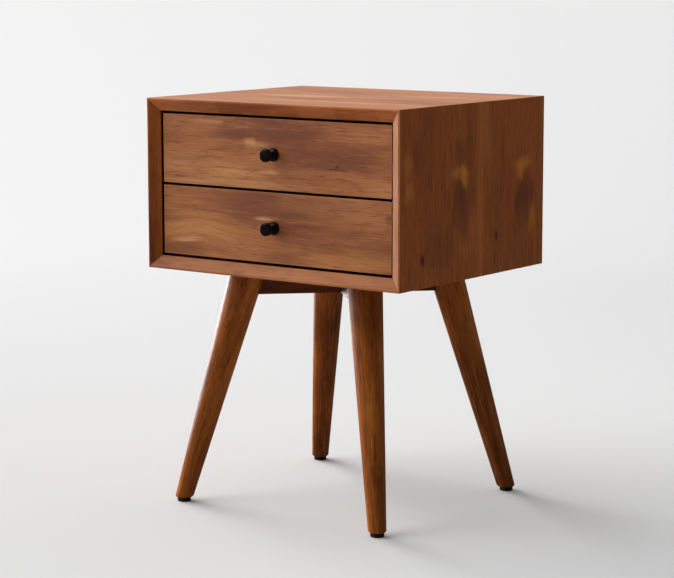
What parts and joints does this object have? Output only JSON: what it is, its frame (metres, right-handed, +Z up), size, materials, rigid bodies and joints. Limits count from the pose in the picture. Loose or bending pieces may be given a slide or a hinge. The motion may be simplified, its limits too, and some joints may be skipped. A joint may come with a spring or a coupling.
{
  "type": "nightstand",
  "caption": "Wooden nightstand: a mitred box case with a bevelled front frame, sliding drawers with small round knobs, and splayed tapered legs tied by crossed rails.",
  "frame": {"origin": "on the floor, midway between the left and right sides of the case, and midway between the knob tips and the back edge of the case", "axes": "+Z up, +Y towards the back, +X to the right of someone facing the drawers"},
  "size_m": [0.4572, 0.391, 0.6096],
  "materials": {
    "case_wood": "satin lacquer",
    "front_wood": "satin lacquer",
    "leg_wood": "satin lacquer",
    "box_wood": "clear lacquer",
    "plywood": "clear lacquer",
    "black_metal": "gloss black",
    "black_plastic": "matte",
    "slide_steel": "zinc plated",
    "ball_steel": "bright",
    "screw_steel": "zinc plated"
  },
  "bodies": {
    "case": {"top_panel": "case_wood", "bottom_panel": "case_wood", "left_side": "case_wood", "right_side": "case_wood", "back_panel": "plywood", "corner_splines": "plywood", "back_panel_screws": "screw_steel", "diagonal_rail_left": "leg_wood", "diagonal_rail_right": "leg_wood", "leg_front_left": "leg_wood", "leg_front_right": "leg_wood", "leg_back_left": "leg_wood", "leg_back_right": "leg_wood", "glide_front_left": "black_plastic", "glide_front_right": "black_plastic", "glide_back_left": "black_plastic", "glide_back_right": "black_plastic", "glide_nails": "screw_steel", "base_screws": "screw_steel", "leg_screws": "screw_steel", "upper_slide_left_case": "slide_steel", "upper_slide_right_case": "slide_steel", "upper_case_member_screws": "screw_steel", "lower_slide_left_case": "slide_steel", "lower_slide_right_case": "slide_steel", "lower_case_member_screws": "screw_steel"},
    "upper_drawer": {"upper_drawer_front": "front_wood", "upper_box_front": "box_wood", "upper_box_left": "box_wood", "upper_box_right": "box_wood", "upper_box_back": "box_wood", "upper_box_bottom": "plywood", "upper_front_screws": "screw_steel", "upper_knob": "black_metal", "upper_knob_screw": "screw_steel", "upper_slide_left_drawer": "slide_steel", "upper_slide_right_drawer": "slide_steel", "upper_drawer_member_screws": "screw_steel"},
    "upper_middle_members": {"upper_slide_left_middle": "slide_steel", "upper_slide_right_middle": "slide_steel"},
    "upper_outer_cages": {"upper_outer_ball_cages": "ball_steel"},
    "upper_inner_cages": {"upper_inner_ball_cages": "ball_steel"},
    "lower_drawer": {"lower_drawer_front": "front_wood", "lower_box_front": "box_wood", "lower_box_left": "box_wood", "lower_box_right": "box_wood", "lower_box_back": "box_wood", "lower_box_bottom": "plywood", "lower_front_screws": "screw_steel", "lower_knob": "black_metal", "lower_knob_screw": "screw_steel", "lower_slide_left_drawer": "slide_steel", "lower_slide_right_drawer": "slide_steel", "lower_drawer_member_screws": "screw_steel"},
    "lower_middle_members": {"lower_slide_left_middle": "slide_steel", "lower_slide_right_middle": "slide_steel"},
    "lower_outer_cages": {"lower_outer_ball_cages": "ball_steel"},
    "lower_inner_cages": {"lower_inner_ball_cages": "ball_steel"}
  },
  "joints": [
    {"name": "upper_drawer_slide", "type": "slide", "parent": "case", "child": "upper_drawer", "axis": [0, -1, 0], "range_m": [0, 0.3]},
    {"name": "upper_middle_members_slide", "type": "slide", "parent": "case", "child": "upper_middle_members", "axis": [0, -1, 0], "range_m": [0, 0.15]},
    {"name": "upper_outer_cages_slide", "type": "slide", "parent": "case", "child": "upper_outer_cages", "axis": [0, -1, 0], "range_m": [0, 0.075]},
    {"name": "upper_inner_cages_slide", "type": "slide", "parent": "case", "child": "upper_inner_cages", "axis": [0, -1, 0], "range_m": [0, 0.225]},
    {"name": "lower_drawer_slide", "type": "slide", "parent": "case", "child": "lower_drawer", "axis": [0, -1, 0], "range_m": [0, 0.3]},
    {"name": "lower_middle_members_slide", "type": "slide", "parent": "case", "child": "lower_middle_members", "axis": [0, -1, 0], "range_m": [0, 0.15]},
    {"name": "lower_outer_cages_slide", "type": "slide", "parent": "case", "child": "lower_outer_cages", "axis": [0, -1, 0], "range_m": [0, 0.075]},
    {"name": "lower_inner_cages_slide", "type": "slide", "parent": "case", "child": "lower_inner_cages", "axis": [0, -1, 0], "range_m": [0, 0.225]}
  ],
  "couplings": [
    {"joint": "upper_middle_members_slide", "follows": "upper_drawer_slide", "ratio": 0.5},
    {"joint": "upper_outer_cages_slide", "follows": "upper_drawer_slide", "ratio": 0.25},
    {"joint": "upper_inner_cages_slide", "follows": "upper_drawer_slide", "ratio": 0.75},
    {"joint": "lower_middle_members_slide", "follows": "lower_drawer_slide", "ratio": 0.5},
    {"joint": "lower_outer_cages_slide", "follows": "lower_drawer_slide", "ratio": 0.25},
    {"joint": "lower_inner_cages_slide", "follows": "lower_drawer_slide", "ratio": 0.75}
  ]
}
